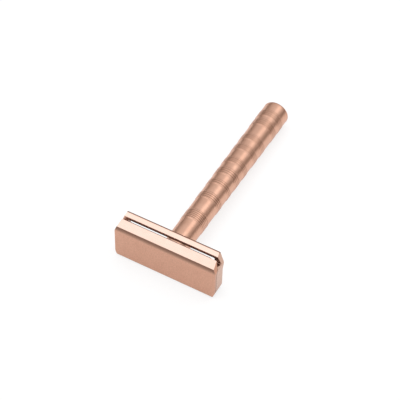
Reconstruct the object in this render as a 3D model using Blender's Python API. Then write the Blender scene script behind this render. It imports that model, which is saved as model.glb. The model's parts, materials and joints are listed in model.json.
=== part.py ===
"""Single-edge safety razor with a clamped half blade.

The razor lies on the flat back of its head, as it does on a shelf: the head is
along X, the handle runs to +Y, +Z is up, and the lowest edge of the head and
the rim of the handle's end both touch z = 0.

All sizes below are millimetres in the razor's own axes:
  x  along the head,
  y  along the handle, 0 at the outer flat of the cap, growing to the handle's end,
  z  across the head, growing to the cutting side.
"""
import math
import bpy
import bmesh
from mathutils import Vector, Matrix

MM = 0.001

# ---------------------------------------------------------------- head outline
HEAD_HALF_LENGTH = 22.5      # half of the head along x
CORNER_START_Z = 6.2         # the ends are square up to here, then taper in
CORNER_TAPER = 0.36          # how much the ends come in for each mm of z
HEAD_BACK_Z = -8.3           # flat back of the head
CAP_FLAT_Z = 8.3             # cutting-side end of the cap's outer flat
FACE_ANGLE = math.radians(63.0)   # cutting face, from the outer flat
CROWN_R = 3.0                # the outer flat rolls over towards the cutting face
CROWN_Y = 0.35               # and meets it at a crisp edge at this depth
HEAD_THICK_Y = 6.45          # outer flat to the back face of the guard

# ---------------------------------------------------------------- cap underside (blade bed)
BED_Y = 1.38                 # thickness of the cap over the middle
BED_ANGLE = math.radians(23.2)    # slope of the bed under the lip
BED_RADIUS = 6.0             # bend from the flat to the slope
BED_BEND_Z = 3.52            # the bend starts here
GUARD_GAP = 0.15             # room between cap and guard for the blade

# ---------------------------------------------------------------- blade
BLADE_THICK = 0.10
BLADE_OFFSET = 0.025         # from the cap's bed to the blade
BLADE_WIDTH = 11.0           # half of a 22 mm double-edge blade
BLADE_BACK_Z = -0.34         # the snapped edge lies a little behind the pins' centre line
BLADE_TAB_HALF = 21.5        # 43 mm over the tabs
BLADE_EDGE_HALF = 18.7       # 37.4 mm of cutting edge
BLADE_TAB_WIDTH = 6.4

# ---------------------------------------------------------------- guard groove and rinse slot
GROOVE_BED_Z = 7.74          # the guard's bed ends here, and the groove falls away
GROOVE_ROOT = (5.63, 6.59)   # bottom of the groove behind the safety bar, (y, z)
BAR_INNER = (5.02, 10.30)    # inner side of the bar, below its front edge
BAR_FRONT_Y = 4.88           # front edge of the safety bar
BAR_BACK_Y = 7.35            # the bar stands out behind the rest of the guard
BAR_BACK_R = 0.55            # rounding of its rear edge
SWELL_TOP_Z = 6.6            # the back slopes out to the bar between these heights
SWELL_FOOT_Z = 3.2
SPOT_FACE_R = 5.2            # flat seat for the handle, cut into that slope
SLOT_HALF = 19.3             # the groove opens to the back between these ends

# ---------------------------------------------------------------- stud, boss, pins
STUD_ROOT_R = 2.00
STUD_CREST_R = 2.46
PITCH = 0.80
STUD_START_Y = 0.65
THREAD_START_Y = 8.60
STUD_END_Y = 17.20
THREAD_CLEARANCE = 0.18
BOSS_R = 3.0
BOSS_END_Y = 3.40
RECESS_R = 3.4
RECESS_END_Y = 3.75
STUD_HOLE_R = 2.05
GUARD_HOLE_R = 2.80
PIN_X = 14.5
PIN_R = 1.25
PIN_TIP_Y = 0.55
PIN_FOOT_Y = 5.40
SOCKET_R = 1.45
SOCKET_Y = 0.45
PIN_HOLE_R = 1.30
PIN_HOLE_END_Y = 5.60

# ---------------------------------------------------------------- handle
HANDLE_START_Y = 6.53
HANDLE_END_Y = 97.0
HANDLE_R_START = 5.045       # mean radius at the head
HANDLE_R_END = 5.815         # mean radius at the far end
BAND_RISE = 0.08             # grip bands stand this far above the mean radius
GROOVE_DROP = 0.06           # and the shaft between them lies this far below it
BAND_EDGE = 0.18
GRIP_BANDS = ((21.2, 26.6), (33.6, 37.6), (42.4, 45.4), (48.7, 53.0), (56.0, 59.6),
              (64.4, 68.2), (71.2, 75.0), (81.3, 85.4), (87.2, 91.4))
END_ROUND = 0.9
SHOULDER_CHAMFER = 0.25
INSERT_BORE_R = 4.05
INSERT_BORE_END_Y = 16.9
RELIEF_R = 3.1
RELIEF_END_Y = 20.0
INSERT_START_Y = 7.6
INSERT_END_Y = 16.4
INSERT_R = 4.0

HANDLE_SEGMENTS = 48
THREAD_SEGMENTS = 16
THREAD_ROWS_PER_TURN = 8

# ---------------------------------------------------------------- rest position
# The head's lower rear edge and the handle's end rim carry the razor.
REST_TILT = math.atan2(-HEAD_BACK_Z - HANDLE_R_END,
                       HANDLE_END_Y - END_ROUND - HEAD_THICK_Y)


# ================================================================ helpers
def clear_scene():
    for ob in list(bpy.data.objects):
        bpy.data.objects.remove(ob, do_unlink=True)
    for me in list(bpy.data.meshes):
        bpy.data.meshes.remove(me)


def material(name, colour, metallic, roughness):
    mat = bpy.data.materials.new(name)
    mat.use_nodes = True
    node = mat.node_tree.nodes.get("Principled BSDF")
    node.inputs["Base Color"].default_value = (*colour, 1.0)
    node.inputs["Metallic"].default_value = metallic
    node.inputs["Roughness"].default_value = roughness
    mat.diffuse_color = (*colour, 1.0)
    return mat


def obj_from_bmesh(name, bm, mat=None, parent=None, origin=(0.0, 0.0, 0.0), cutter=False):
    """Make an object from a bmesh in millimetres; origin is also in millimetres."""
    bmesh.ops.translate(bm, verts=bm.verts, vec=-Vector(origin))
    bmesh.ops.scale(bm, verts=bm.verts, vec=(MM, MM, MM))
    bmesh.ops.recalc_face_normals(bm, faces=bm.faces)
    me = bpy.data.meshes.new(name)
    bm.to_mesh(me)
    bm.free()
    ob = bpy.data.objects.new(name, me)
    bpy.context.collection.objects.link(ob)
    if mat:
        me.materials.append(mat)
    ob.parent = parent
    ob.location = Vector(origin) * MM
    if cutter:
        ob.display_type = 'WIRE'
        ob.hide_render = True
    return ob


def rounded(points, radii, step=math.radians(15)):
    """Round the corners of a closed outline; radii[i] belongs to points[i]."""
    out = []
    count = len(points)
    for i, (p, r) in enumerate(zip(points, radii)):
        a = Vector(points[i - 1]) - Vector(p)
        b = Vector(points[(i + 1) % count]) - Vector(p)
        if r <= 0:
            out.append(tuple(p))
            continue
        a.normalize()
        b.normalize()
        half = math.acos(max(-1.0, min(1.0, a.dot(b)))) / 2
        cut = r / math.tan(half)
        start = Vector(p) + a * cut
        end = Vector(p) + b * cut
        centre = Vector(p) + (a + b).normalized() * (r / math.sin(half))
        sweep = math.pi - 2 * half
        steps = max(1, int(math.ceil(sweep / step)))
        u = (start - centre)
        v = (end - centre)
        a0 = math.atan2(u.y, u.x)
        a1 = math.atan2(v.y, v.x)
        turn = (a1 - a0 + math.pi) % (2 * math.pi) - math.pi
        for k in range(steps + 1):
            t = a0 + turn * k / steps
            out.append((centre.x + r * math.cos(t), centre.y + r * math.sin(t)))
    return out


def prism_x(outline, x0, x1):
    """Outline in (y, z), extruded along x."""
    bm = bmesh.new()
    ring = [bm.verts.new((x0, y, z)) for y, z in outline]
    face = bm.faces.new(ring)
    res = bmesh.ops.extrude_face_region(bm, geom=[face])
    verts = [g for g in res["geom"] if isinstance(g, bmesh.types.BMVert)]
    bmesh.ops.translate(bm, verts=verts, vec=(x1 - x0, 0, 0))
    return bm


def prism_y(outline, y0, y1):
    """Outline in (x, z), extruded along y."""
    bm = bmesh.new()
    ring = [bm.verts.new((x, y0, z)) for x, z in outline]
    face = bm.faces.new(ring)
    res = bmesh.ops.extrude_face_region(bm, geom=[face])
    verts = [g for g in res["geom"] if isinstance(g, bmesh.types.BMVert)]
    bmesh.ops.translate(bm, verts=verts, vec=(0, y1 - y0, 0))
    return bm


def turned(profile, segments, centre=(0.0, 0.0)):
    """Turn a profile of (radius, y) about the y axis at (x, z) = centre.
    The profile starts and ends on the axis (radius 0)."""
    bm = bmesh.new()
    rings = []
    for r, y in profile:
        if r <= 1e-6:
            rings.append([bm.verts.new((centre[0], y, centre[1]))])
        else:
            rings.append([bm.verts.new((centre[0] + r * math.cos(2 * math.pi * i / segments), y,
                                        centre[1] + r * math.sin(2 * math.pi * i / segments)))
                          for i in range(segments)])
    for lo, hi in zip(rings[:-1], rings[1:]):
        for i in range(segments):
            j = (i + 1) % segments
            if len(lo) == 1:
                bm.faces.new((lo[0], hi[i], hi[j]))
            elif len(hi) == 1:
                bm.faces.new((lo[i], lo[j], hi[0]))
            else:
                bm.faces.new((lo[i], lo[j], hi[j], hi[i]))
    return bm


def cylinder_y(radius, y0, y1, segments=32, centre=(0.0, 0.0)):
    return turned([(0, y0), (radius, y0), (radius, y1), (0, y1)], segments, centre)


def cut(target, cutter, operation='DIFFERENCE'):
    mod = target.modifiers.new(operation.lower() + "_" + cutter.name, 'BOOLEAN')
    mod.operation = operation
    mod.object = cutter
    mod.solver = 'EXACT'
    return mod


def smooth(ob, angle=35):
    ob.data.shade_smooth()
    ob.data.set_sharp_from_angle(angle=math.radians(angle))


# ================================================================ head geometry
def face_z(y):
    """z of the cutting face at depth y."""
    return CAP_FLAT_Z + y / math.tan(FACE_ANGLE)


def bed_point(offset, s):
    """Point (y, z) at arc length s along the bed (s = 0 where the bend starts),
    moved by offset towards the guard."""
    arc = BED_RADIUS * BED_ANGLE
    if s <= 0:
        return (BED_Y + offset, BED_BEND_Z + s)
    if s <= arc:
        t = s / BED_RADIUS
        r = BED_RADIUS - offset
        return (BED_Y + BED_RADIUS - r * math.cos(t), BED_BEND_Z + r * math.sin(t))
    t = BED_ANGLE
    r = BED_RADIUS - offset
    y = BED_Y + BED_RADIUS - r * math.cos(t)
    z = BED_BEND_Z + r * math.sin(t)
    d = s - arc
    return (y + d * math.sin(t), z + d * math.cos(t))


def bed_curve(offset, s_end, bend_steps=4):
    """The bed from z = HEAD_BACK_Z to arc length s_end."""
    arc = BED_RADIUS * BED_ANGLE
    pts = [(BED_Y + offset, HEAD_BACK_Z)]
    for k in range(bend_steps + 1):
        pts.append(bed_point(offset, arc * k / bend_steps))
    pts.append(bed_point(offset, s_end))
    return pts


def head_plan(grow=0.0):
    """Outline of the head seen along the handle, in (x, z)."""
    zmin = HEAD_BACK_Z
    zmax = 13.0
    x_back = HEAD_HALF_LENGTH - CORNER_TAPER * (-zmin - CORNER_START_Z)
    x_top = HEAD_HALF_LENGTH - CORNER_TAPER * (zmax - CORNER_START_Z)
    pts = [(x_back, zmin), (HEAD_HALF_LENGTH, -CORNER_START_Z), (HEAD_HALF_LENGTH, CORNER_START_Z), (x_top, zmax),
           (-x_top, zmax), (-HEAD_HALF_LENGTH, CORNER_START_Z), (-HEAD_HALF_LENGTH, -CORNER_START_Z), (-x_back, zmin)]
    return rounded(pts, [0.9, 2.0, 2.0, 0, 0, 2.0, 2.0, 0.9], math.radians(12))


def lip_length():
    """Arc length along the bed at which the lip meets the cutting face."""
    arc = BED_RADIUS * BED_ANGLE
    y0, z0 = bed_point(0.0, arc)
    # y0 + d sin = Y and z0 + d cos = face_z(Y)
    s, c = math.sin(BED_ANGLE), math.cos(BED_ANGLE)
    k = 1 / math.tan(FACE_ANGLE)
    d = (CAP_FLAT_Z + k * y0 - z0) / (c - k * s)
    return arc + d


def crown(steps):
    """The arc that leads from the outer flat to its edge with the cutting face."""
    end = math.acos(1 - CROWN_Y / CROWN_R)
    z0 = face_z(CROWN_Y) - CROWN_R * math.sin(end)
    return [(CROWN_R * (1 - math.cos(end * k / steps)), z0 + CROWN_R * math.sin(end * k / steps))
            for k in range(steps + 1)]


def build_cap(parent, mat):
    s_lip = lip_length()
    bed = bed_curve(0.0, s_lip)
    lip = bed[-1]
    arc = crown(5)
    outline = [(0.0, HEAD_BACK_Z)] + arc + [lip] + list(reversed(bed[:-1]))
    radii = [0.45] + [0.0] * (len(arc) - 1) + [0.10, 0.07] + [0.0] * (len(bed) - 2) + [0.15]
    outline = rounded(outline, radii)
    cap = obj_from_bmesh("top_cap", prism_x(outline, -30, 30), mat, parent)
    plan = obj_from_bmesh("cap_plan_cutter", prism_y(head_plan(), -3, 12), None, parent, cutter=True)
    boss = obj_from_bmesh("cap_boss_cutter", turned([(0, 0.9), (BOSS_R, 0.9), (BOSS_R, BOSS_END_Y - 0.25),
                                                     (BOSS_R - 0.25, BOSS_END_Y), (0, BOSS_END_Y)], 32),
                          None, parent, cutter=True)
    hole = obj_from_bmesh("cap_stud_cutter", cylinder_y(STUD_HOLE_R, STUD_START_Y - 0.10, 5.0), None, parent, cutter=True)
    cut(cap, plan, 'INTERSECT')
    cut(cap, boss, 'UNION')
    cut(cap, hole)
    for side in (-1, 1):
        socket = obj_from_bmesh("cap_socket_cutter_%d" % side,
                                cylinder_y(SOCKET_R, SOCKET_Y, 3.0, 24, (side * PIN_X, 0.0)),
                                None, parent, cutter=True)
        cut(cap, socket)
    return cap


def guard_outline():
    """Outline of the guard in (y, z): bed, groove, safety bar, slope down to the flat back."""
    arc = BED_RADIUS * BED_ANGLE
    s_end = arc + (GROOVE_BED_Z - bed_point(GUARD_GAP, arc)[1]) / math.cos(BED_ANGLE)
    bed = bed_curve(GUARD_GAP, s_end)
    front = (BAR_FRONT_Y, face_z(BAR_FRONT_Y))
    top = (BAR_BACK_Y, face_z(BAR_BACK_Y))
    pts = bed + [GROOVE_ROOT, BAR_INNER, front, top, (BAR_BACK_Y, SWELL_TOP_Z),
                 (HEAD_THICK_Y, SWELL_FOOT_Z), (HEAD_THICK_Y, HEAD_BACK_Z)]
    radii = [0.15] + [0.0] * (len(bed) - 2) + [0.10, 0.25, 0.0, 0.08, BAR_BACK_R, 1.0, 1.0, 0.4]
    return rounded(pts, radii)


def build_guard(parent, mat):
    guard = obj_from_bmesh("guard_plate", prism_x(guard_outline(), -30, 30), mat, parent)
    plan = obj_from_bmesh("guard_plan_cutter", prism_y(head_plan(), -3, 12), None, parent, cutter=True)
    cut(guard, plan, 'INTERSECT')
    # rinse slot: the groove's root is open to the back between two end webs
    slot_outline = [(4.6, 7.4), (4.9, 6.6), (5.5, 6.4), (8.2, 4.2), (8.2, 5.24), (4.96, 9.33)]
    slot = obj_from_bmesh("guard_slot_cutter", prism_x(slot_outline, -SLOT_HALF, SLOT_HALF), None, parent, cutter=True)
    cut(guard, slot)
    seat = obj_from_bmesh("guard_seat_cutter", cylinder_y(SPOT_FACE_R, HEAD_THICK_Y, 9.0, 48), None, parent, cutter=True)
    cut(guard, seat)
    recess = obj_from_bmesh("guard_recess_cutter", cylinder_y(RECESS_R, 0.0, RECESS_END_Y), None, parent, cutter=True)
    hole = obj_from_bmesh("guard_hole_cutter", cylinder_y(GUARD_HOLE_R, 2.0, 9.0), None, parent, cutter=True)
    cut(guard, recess)
    cut(guard, hole)
    for side in (-1, 1):
        pin_hole = obj_from_bmesh("guard_pin_cutter_%d" % side,
                                  cylinder_y(PIN_HOLE_R, 0.0, PIN_HOLE_END_Y, 24, (side * PIN_X, 0.0)),
                                  None, parent, cutter=True)
        cut(guard, pin_hole)
    return guard


def build_pin(name, x, parent, mat):
    c = 0.2
    bm = turned([(0, PIN_TIP_Y), (PIN_R - c, PIN_TIP_Y), (PIN_R, PIN_TIP_Y + c),
                 (PIN_R, PIN_FOOT_Y - c), (PIN_R - c, PIN_FOOT_Y), (0, PIN_FOOT_Y)], 24, (x, 0.0))
    ob = obj_from_bmesh(name, bm, mat, parent, origin=(x, PIN_FOOT_Y, 0.0))
    smooth(ob)
    return ob


# ================================================================ blade
def blade_outline():
    """Flat outline (x, w): w = 0 at the snapped back edge, BLADE_WIDTH at the cutting edge."""
    def notch(cx, radius, steps):
        # half-round notch open to the back edge, walked from +x to -x; centre on z = 0
        w0 = -BLADE_BACK_Z
        reach = math.sqrt(radius * radius - w0 * w0)
        a0 = math.atan2(-w0, reach)
        a1 = math.pi - a0
        return [(cx + radius * math.cos(a0 + (a1 - a0) * k / steps),
                 max(0.0, w0 + radius * math.sin(a0 + (a1 - a0) * k / steps))) for k in range(steps + 1)]
    pts = [(-BLADE_TAB_HALF, 0.0)]
    pts.append((-BLADE_TAB_HALF, BLADE_TAB_WIDTH - 0.6))
    pts.append((-BLADE_TAB_HALF + 0.6, BLADE_TAB_WIDTH))
    pts.append((-BLADE_EDGE_HALF - 0.2, BLADE_TAB_WIDTH + 0.25))
    pts.append((-BLADE_EDGE_HALF, BLADE_TAB_WIDTH + 0.9))
    pts.append((-BLADE_EDGE_HALF, BLADE_WIDTH))
    pts += [(-x, w) for x, w in reversed(pts)]
    pts += notch(PIN_X, 1.45, 8)
    pts += notch(0.0, 3.25, 12)
    pts += notch(-PIN_X, 1.45, 8)
    return pts


def build_blade(parent, mat):
    bm = bmesh.new()
    ring = [bm.verts.new((x, 0.0, w)) for x, w in blade_outline()]
    face = bm.faces.new(ring)
    res = bmesh.ops.extrude_face_region(bm, geom=[face])
    verts = [g for g in res["geom"] if isinstance(g, bmesh.types.BMVert)]
    bmesh.ops.translate(bm, verts=verts, vec=(0, 1.0, 0))
    # cross cuts so that the strip can follow the bend, and one where the ground edge starts
    arc = BED_RADIUS * BED_ANGLE
    s0 = BLADE_BACK_Z - BED_BEND_Z
    cuts = [arc * k / 5 - s0 for k in range(6)] + [BLADE_WIDTH - 0.75]
    for w in cuts:
        bmesh.ops.bisect_plane(bm, geom=bm.verts[:] + bm.edges[:] + bm.faces[:], dist=1e-6,
                               plane_co=(0, 0, w), plane_no=(0, 0, 1))
    for v in bm.verts:
        w = v.co.z
        s = s0 + w
        ground = max(0.0, min(1.0, (w - (BLADE_WIDTH - 0.75)) / 0.75))
        inset = 0.043 * ground
        if v.co.y < 0.5:
            off = BLADE_OFFSET + inset
        else:
            off = BLADE_OFFSET + BLADE_THICK - inset
        y, z = bed_point(off, s)
        v.co = Vector((v.co.x, y, z))
    bmesh.ops.triangulate(bm, faces=[f for f in bm.faces if len(f.verts) > 4])
    return obj_from_bmesh("razor_blade", bm, mat, parent, origin=(0.0, BED_Y, 0.0))


# ================================================================ threads
def thread_height(phase):
    """0 at the root, 1 at the crest, for a phase in turns of the pitch."""
    u = phase % 1.0
    flank = 0.33
    crest = 0.125
    if u < flank:
        return u / flank
    if u < flank + crest:
        return 1.0
    if u < 2 * flank + crest:
        return 1.0 - (u - flank - crest) / flank
    return 0.0


def thread_rings(bm, y0, y1, segments, root, crest, fade0, fade1):
    """Rings of a right-hand thread between y0 and y1; the groove runs out over fade0 and fade1."""
    rows = int(round((y1 - y0) / PITCH * THREAD_ROWS_PER_TURN))
    rings = []
    for j in range(rows + 1):
        y = y0 + (y1 - y0) * j / rows
        ring = []
        for i in range(segments):
            ang = 2 * math.pi * i / segments
            # a right-hand helix: turning about +y advances along +y
            phase = y / PITCH - hand_turns(ang)
            k = thread_height(phase)
            if fade0 > 0:
                k *= max(0.0, min(1.0, (y - y0) / fade0))
            if fade1 > 0:
                k *= max(0.0, min(1.0, (y1 - y) / fade1))
            r = root + (crest - root) * k
            ring.append(bm.verts.new((r * math.cos(ang), y, r * math.sin(ang))))
        rings.append(ring)
    return rings


def hand_turns(ang):
    """Turns about +y of the direction (cos ang, sin ang) in (x, z)."""
    return -ang / (2 * math.pi)


def bridge(bm, a, b):
    n = len(a)
    for i in range(n):
        j = (i + 1) % n
        bm.faces.new((a[i], a[j], b[j], b[i]))


def ring_at(bm, radius, y, segments):
    return [bm.verts.new((radius * math.cos(2 * math.pi * i / segments), y,
                          radius * math.sin(2 * math.pi * i / segments))) for i in range(segments)]


def build_stud(parent, mat):
    bm = bmesh.new()
    n = THREAD_SEGMENTS
    r = STUD_ROOT_R
    first = ring_at(bm, r - 0.2, STUD_START_Y, n)
    second = ring_at(bm, r, STUD_START_Y + 0.2, n)
    rings = [first, second]
    rings += thread_rings(bm, THREAD_START_Y, STUD_END_Y - 0.4, n, r, STUD_CREST_R, 0.8, 0.4)
    rings.append(ring_at(bm, r - 0.4, STUD_END_Y, n))
    for a, b in zip(rings[:-1], rings[1:]):
        bridge(bm, a, b)
    bm.faces.new(first)
    bm.faces.new(rings[-1])
    ob = obj_from_bmesh("threaded_stud", bm, mat, parent, origin=(0.0, STUD_START_Y, 0.0))
    smooth(ob)
    return ob


def build_insert(parent, mat):
    bm = bmesh.new()
    n = THREAD_SEGMENTS
    root = STUD_ROOT_R + THREAD_CLEARANCE
    crest = STUD_CREST_R + THREAD_CLEARANCE
    y0, y1 = INSERT_START_Y, INSERT_END_Y
    lead = 0.5
    inner = [ring_at(bm, crest + 0.1, y0, n)]
    inner += thread_rings(bm, y0 + lead, y1 - lead, n, root, crest, 0.0, 0.0)
    inner.append(ring_at(bm, crest + 0.1, y1, n))
    for a, b in zip(inner[:-1], inner[1:]):
        bridge(bm, a, b)
    ch = 0.3
    outer = [ring_at(bm, INSERT_R - ch, y0, n), ring_at(bm, INSERT_R, y0 + ch, n),
             ring_at(bm, INSERT_R, y1 - ch, n), ring_at(bm, INSERT_R - ch, y1, n)]
    for a, b in zip(outer[:-1], outer[1:]):
        bridge(bm, a, b)
    bridge(bm, inner[0], outer[0])
    bridge(bm, inner[-1], outer[-1])
    ob = obj_from_bmesh("handle_thread_insert", bm, mat, parent, origin=(0.0, INSERT_START_Y, 0.0))
    smooth(ob)
    return ob


# ================================================================ handle
def mean_radius(y):
    t = (y - HANDLE_START_Y) / (HANDLE_END_Y - HANDLE_START_Y)
    return HANDLE_R_START + (HANDLE_R_END - HANDLE_R_START) * t


def handle_profile():
    """Outside from the shoulder to the end, then back through the bore, as (radius, y)."""
    c = SHOULDER_CHAMFER
    y = HANDLE_START_Y
    pts = [(mean_radius(y) - GROOVE_DROP - c, y), (mean_radius(y + c) - GROOVE_DROP, y + c)]
    for a, b in GRIP_BANDS:
        low, high = -GROOVE_DROP, BAND_RISE
        pts.append((mean_radius(a) + low, a))
        pts.append((mean_radius(a + BAND_EDGE) + high, a + BAND_EDGE))
        pts.append((mean_radius(b - 2 * BAND_EDGE) + high, b - 2 * BAND_EDGE))
        pts.append((mean_radius(b) + low, b))
    r = HANDLE_R_END
    e = HANDLE_END_Y
    pts.append((r, e - END_ROUND - 2.2))
    for k in range(6):
        t = math.pi / 2 * k / 5
        pts.append((r - END_ROUND + END_ROUND * math.cos(t), e - END_ROUND + END_ROUND * math.sin(t)))
    pts.append((0.0, e))
    bore = [(0.0, RELIEF_END_Y + 1.2), (RELIEF_R, RELIEF_END_Y), (RELIEF_R, INSERT_BORE_END_Y),
            (INSERT_BORE_R, INSERT_BORE_END_Y), (INSERT_BORE_R, HANDLE_START_Y + 0.3),
            (INSERT_BORE_R + 0.3, HANDLE_START_Y)]
    return bore + pts


def build_handle(parent, mat):
    ob = obj_from_bmesh("handle_body", turned(handle_profile(), HANDLE_SEGMENTS), mat, parent,
                        origin=(0.0, HANDLE_START_Y, 0.0))
    smooth(ob, 20)
    return ob


# ================================================================ assembly
def empty(name, parent=None, location=(0.0, 0.0, 0.0)):
    ob = bpy.data.objects.new(name, None)
    ob.empty_display_size = 0.01
    bpy.context.collection.objects.link(ob)
    ob.parent = parent
    ob.location = Vector(location) * MM
    return ob


def main():
    clear_scene()
    copper = material("copper_matte", (0.60, 0.33, 0.22), 1.0, 0.38)
    copper_grip = material("copper_grip", (0.58, 0.31, 0.21), 1.0, 0.32)
    steel = material("blade_steel", (0.72, 0.72, 0.73), 1.0, 0.18)
    pin_steel = material("pin_steel", (0.55, 0.55, 0.56), 1.0, 0.30)
    brass = material("insert_brass", (0.72, 0.55, 0.27), 1.0, 0.30)

    rest = empty("rest_frame")
    rest.rotation_euler = (-REST_TILT, 0.0, 0.0)
    cap_axis = empty("cap_slide_axis", rest)
    blade_axis = empty("blade_slide_axis", rest)
    handle_axis = empty("handle_turn_axis", rest)

    pieces = [
        build_cap(cap_axis, copper),
        build_stud(cap_axis, pin_steel),
        build_blade(blade_axis, steel),
        build_guard(rest, copper),
        build_pin("locating_pin_left", -PIN_X, rest, pin_steel),
        build_pin("locating_pin_right", PIN_X, rest, pin_steel),
        build_handle(handle_axis, copper_grip),
        build_insert(handle_axis, brass),
    ]

    # Put the middle of the footprint at the origin and the lowest point at z = 0.
    bpy.context.view_layer.update()
    graph = bpy.context.evaluated_depsgraph_get()
    low = Vector((1e9, 1e9, 1e9))
    high = -low
    for ob in pieces:
        ev = ob.evaluated_get(graph)
        me = ev.to_mesh()
        for v in me.vertices:
            p = ev.matrix_world @ v.co
            low = Vector(map(min, low, p))
            high = Vector(map(max, high, p))
        ev.to_mesh_clear()
    rest.location = (-(low.x + high.x) / 2, -(low.y + high.y) / 2, -low.z)
    bpy.context.view_layer.update()


main()
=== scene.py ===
"""Looks of the single-edge safety razor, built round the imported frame.

The visible pieces are made here at a finer resolution than the CAD solids, in
the same place and size, with procedural metal finishes. Sizes are millimetres
in the razor's own axes, as in the CAD: x along the head, y along the handle
from the cap's outer flat, z across the head towards the cutting side. They are
turned into the row frame through the cap's mount and axis from the record.
"""
import json
import math

import bmesh
import bpy
import numpy as np
from mathutils import Matrix, Vector


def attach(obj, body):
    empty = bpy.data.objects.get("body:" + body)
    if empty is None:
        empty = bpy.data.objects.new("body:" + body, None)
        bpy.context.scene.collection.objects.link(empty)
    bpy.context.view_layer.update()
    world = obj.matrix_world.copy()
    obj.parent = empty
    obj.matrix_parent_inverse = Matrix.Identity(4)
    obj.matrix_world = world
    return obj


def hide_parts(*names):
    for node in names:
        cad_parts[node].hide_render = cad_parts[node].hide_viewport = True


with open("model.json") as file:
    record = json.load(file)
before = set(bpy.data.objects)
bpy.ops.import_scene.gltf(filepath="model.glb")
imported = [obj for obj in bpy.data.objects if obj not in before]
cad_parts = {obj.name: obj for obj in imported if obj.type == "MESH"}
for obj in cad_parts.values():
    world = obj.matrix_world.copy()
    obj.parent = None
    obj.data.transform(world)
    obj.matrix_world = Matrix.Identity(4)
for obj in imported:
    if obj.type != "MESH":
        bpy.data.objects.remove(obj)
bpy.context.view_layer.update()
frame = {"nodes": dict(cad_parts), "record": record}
NODES = frame["nodes"]
RECORD = frame["record"]

# ================================================================ the razor's own axes
_mount = next(m for m in RECORD["mounts"] if m["name"] == "cap_outer_flat")
AXIS_Y = -Vector(_mount["axis"]).normalized()
AXIS_X = Vector((1.0, 0.0, 0.0))
AXIS_Z = AXIS_X.cross(AXIS_Y).normalized()
ORIGIN = Vector(_mount["pos_m"])
MM = 0.001
TO_ROW = Matrix.Translation(ORIGIN) @ Matrix((
    (AXIS_X.x * MM, AXIS_Y.x * MM, AXIS_Z.x * MM, 0.0),
    (AXIS_X.y * MM, AXIS_Y.y * MM, AXIS_Z.y * MM, 0.0),
    (AXIS_X.z * MM, AXIS_Y.z * MM, AXIS_Z.z * MM, 0.0),
    (0.0, 0.0, 0.0, 1.0)))

# ================================================================ sizes shared with the CAD
HEAD_HALF_LENGTH = 22.5
CORNER_START_Z = 6.2
CORNER_TAPER = 0.36
HEAD_BACK_Z = -8.3
CAP_FLAT_Z = 8.3
FACE_ANGLE = math.radians(63.0)
HEAD_THICK_Y = 6.45
CROWN_R = 3.0
CROWN_Y = 0.35
BAR_FRONT_Y = 4.88
BAR_BACK_Y = 7.35
BAR_BACK_R = 0.55
SWELL_TOP_Z = 6.6
SWELL_FOOT_Z = 3.2
SPOT_FACE_R = 5.2
BED_Y = 1.38
BED_ANGLE = math.radians(23.2)
BED_RADIUS = 6.0
BED_BEND_Z = 3.52
GUARD_GAP = 0.15
BLADE_THICK = 0.10
BLADE_OFFSET = 0.025
BLADE_WIDTH = 11.0
BLADE_BACK_Z = -0.34
BLADE_TAB_HALF = 21.5
BLADE_EDGE_HALF = 18.7
BLADE_TAB_WIDTH = 6.4
GROOVE_BED_Z = 7.74
GROOVE_ROOT = (5.63, 6.59)
BAR_INNER = (5.02, 10.30)
SLOT_HALF = 19.3
STUD_ROOT_R = 2.00
STUD_CREST_R = 2.36          # 0.10 under the solid model: its finer sides need more room in the bush
PITCH = 0.80
STUD_START_Y = 0.65
THREAD_START_Y = 8.60
STUD_END_Y = 17.20
BOSS_R = 3.0
BOSS_END_Y = 3.40
RECESS_R = 3.4
RECESS_END_Y = 3.75
STUD_HOLE_R = 2.05
GUARD_HOLE_R = 2.80
PIN_X = 14.5
PIN_R = 1.25
PIN_TIP_Y = 0.55
PIN_FOOT_Y = 5.40
SOCKET_R = 1.45
SOCKET_Y = 0.45
PIN_HOLE_R = 1.30
PIN_HOLE_END_Y = 5.60
HANDLE_START_Y = 6.53
HANDLE_END_Y = 97.0
HANDLE_R_START = 5.045
HANDLE_R_END = 5.815
BAND_RISE = 0.08
GROOVE_DROP = 0.06
BAND_EDGE = 0.18
GRIP_BANDS = ((21.2, 26.6), (33.6, 37.6), (42.4, 45.4), (48.7, 53.0), (56.0, 59.6),
              (64.4, 68.2), (71.2, 75.0), (81.3, 85.4), (87.2, 91.4))
END_ROUND = 0.9
SHOULDER_CHAMFER = 0.25
INSERT_BORE_R = 4.05
INSERT_BORE_END_Y = 16.9
RELIEF_R = 3.1
RELIEF_END_Y = 20.0

# knurling
KNURL_COUNT = 36             # lands round the handle
KNURL_STEPS = 8              # mesh steps across one land, round the handle
KNURL_ROWS = 7               # and along it
KNURL_PITCH = 0.98           # spacing of the ring grooves
KNURL_DEPTH = 0.05
HANDLE_SEGMENTS = KNURL_COUNT * KNURL_STEPS


# ================================================================ mesh helpers
def make_object(name, bm, mat, smooth_angle=30.0, weighted=False):
    """A bmesh in the razor's own millimetres becomes an object in the row frame."""
    bmesh.ops.transform(bm, matrix=TO_ROW, verts=bm.verts)
    bmesh.ops.recalc_face_normals(bm, faces=bm.faces)
    me = bpy.data.meshes.new(name)
    bm.to_mesh(me)
    bm.free()
    me.materials.append(mat)
    me.shade_smooth()
    me.set_sharp_from_angle(angle=math.radians(smooth_angle))
    ob = bpy.data.objects.new(name, me)
    bpy.context.scene.collection.objects.link(ob)
    if weighted:
        mod = ob.modifiers.new("weighted_normal", 'WEIGHTED_NORMAL')
        mod.keep_sharp = True
        mod.weight = 50
    return ob


def scratch_object(name, bm):
    """A helper object in the razor's own millimetres, removed after its use."""
    bmesh.ops.recalc_face_normals(bm, faces=bm.faces)
    me = bpy.data.meshes.new(name)
    bm.to_mesh(me)
    bm.free()
    ob = bpy.data.objects.new(name, me)
    bpy.context.scene.collection.objects.link(ob)
    return ob


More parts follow.
